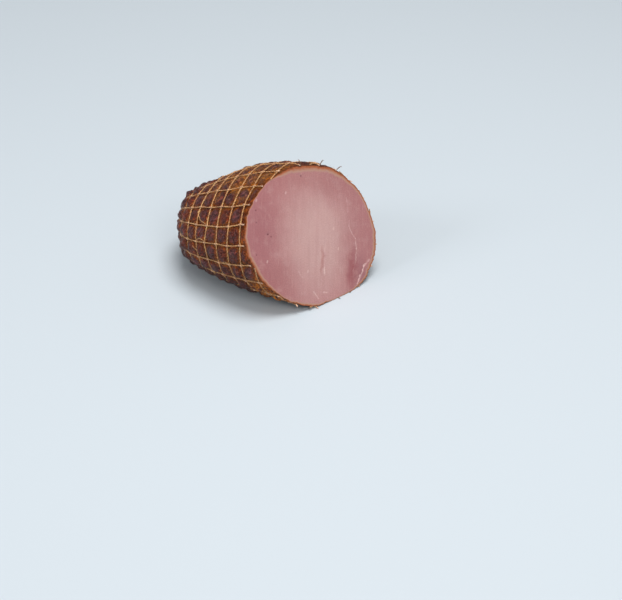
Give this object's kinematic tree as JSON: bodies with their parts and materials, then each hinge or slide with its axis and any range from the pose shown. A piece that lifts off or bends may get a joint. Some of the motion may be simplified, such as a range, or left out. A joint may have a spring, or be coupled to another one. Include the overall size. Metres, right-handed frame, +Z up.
{
  "type": "cold-smoked pork loin in a net",
  "caption": "Log of cold-smoked pork loin in a knitted net, cut across on a slant at the thick end, tapering to a rounded tail.",
  "frame": {"origin": "on the surface that the loin rests on, under the middle of its bounding box", "axes": "+Z up, +Y along the log from the cut face to the tail, +X across it"},
  "size_m": [0.1024, 0.1292, 0.0846],
  "materials": {
    "smoked_meat": "satin, purplish brown smoked skin; the cut face is matte pale pink",
    "net_thread": "matte golden tan cotton thread"
  },
  "bodies": {
    "root": {"loin": "smoked_meat", "net": "net_thread"}
  },
  "joints": []
}
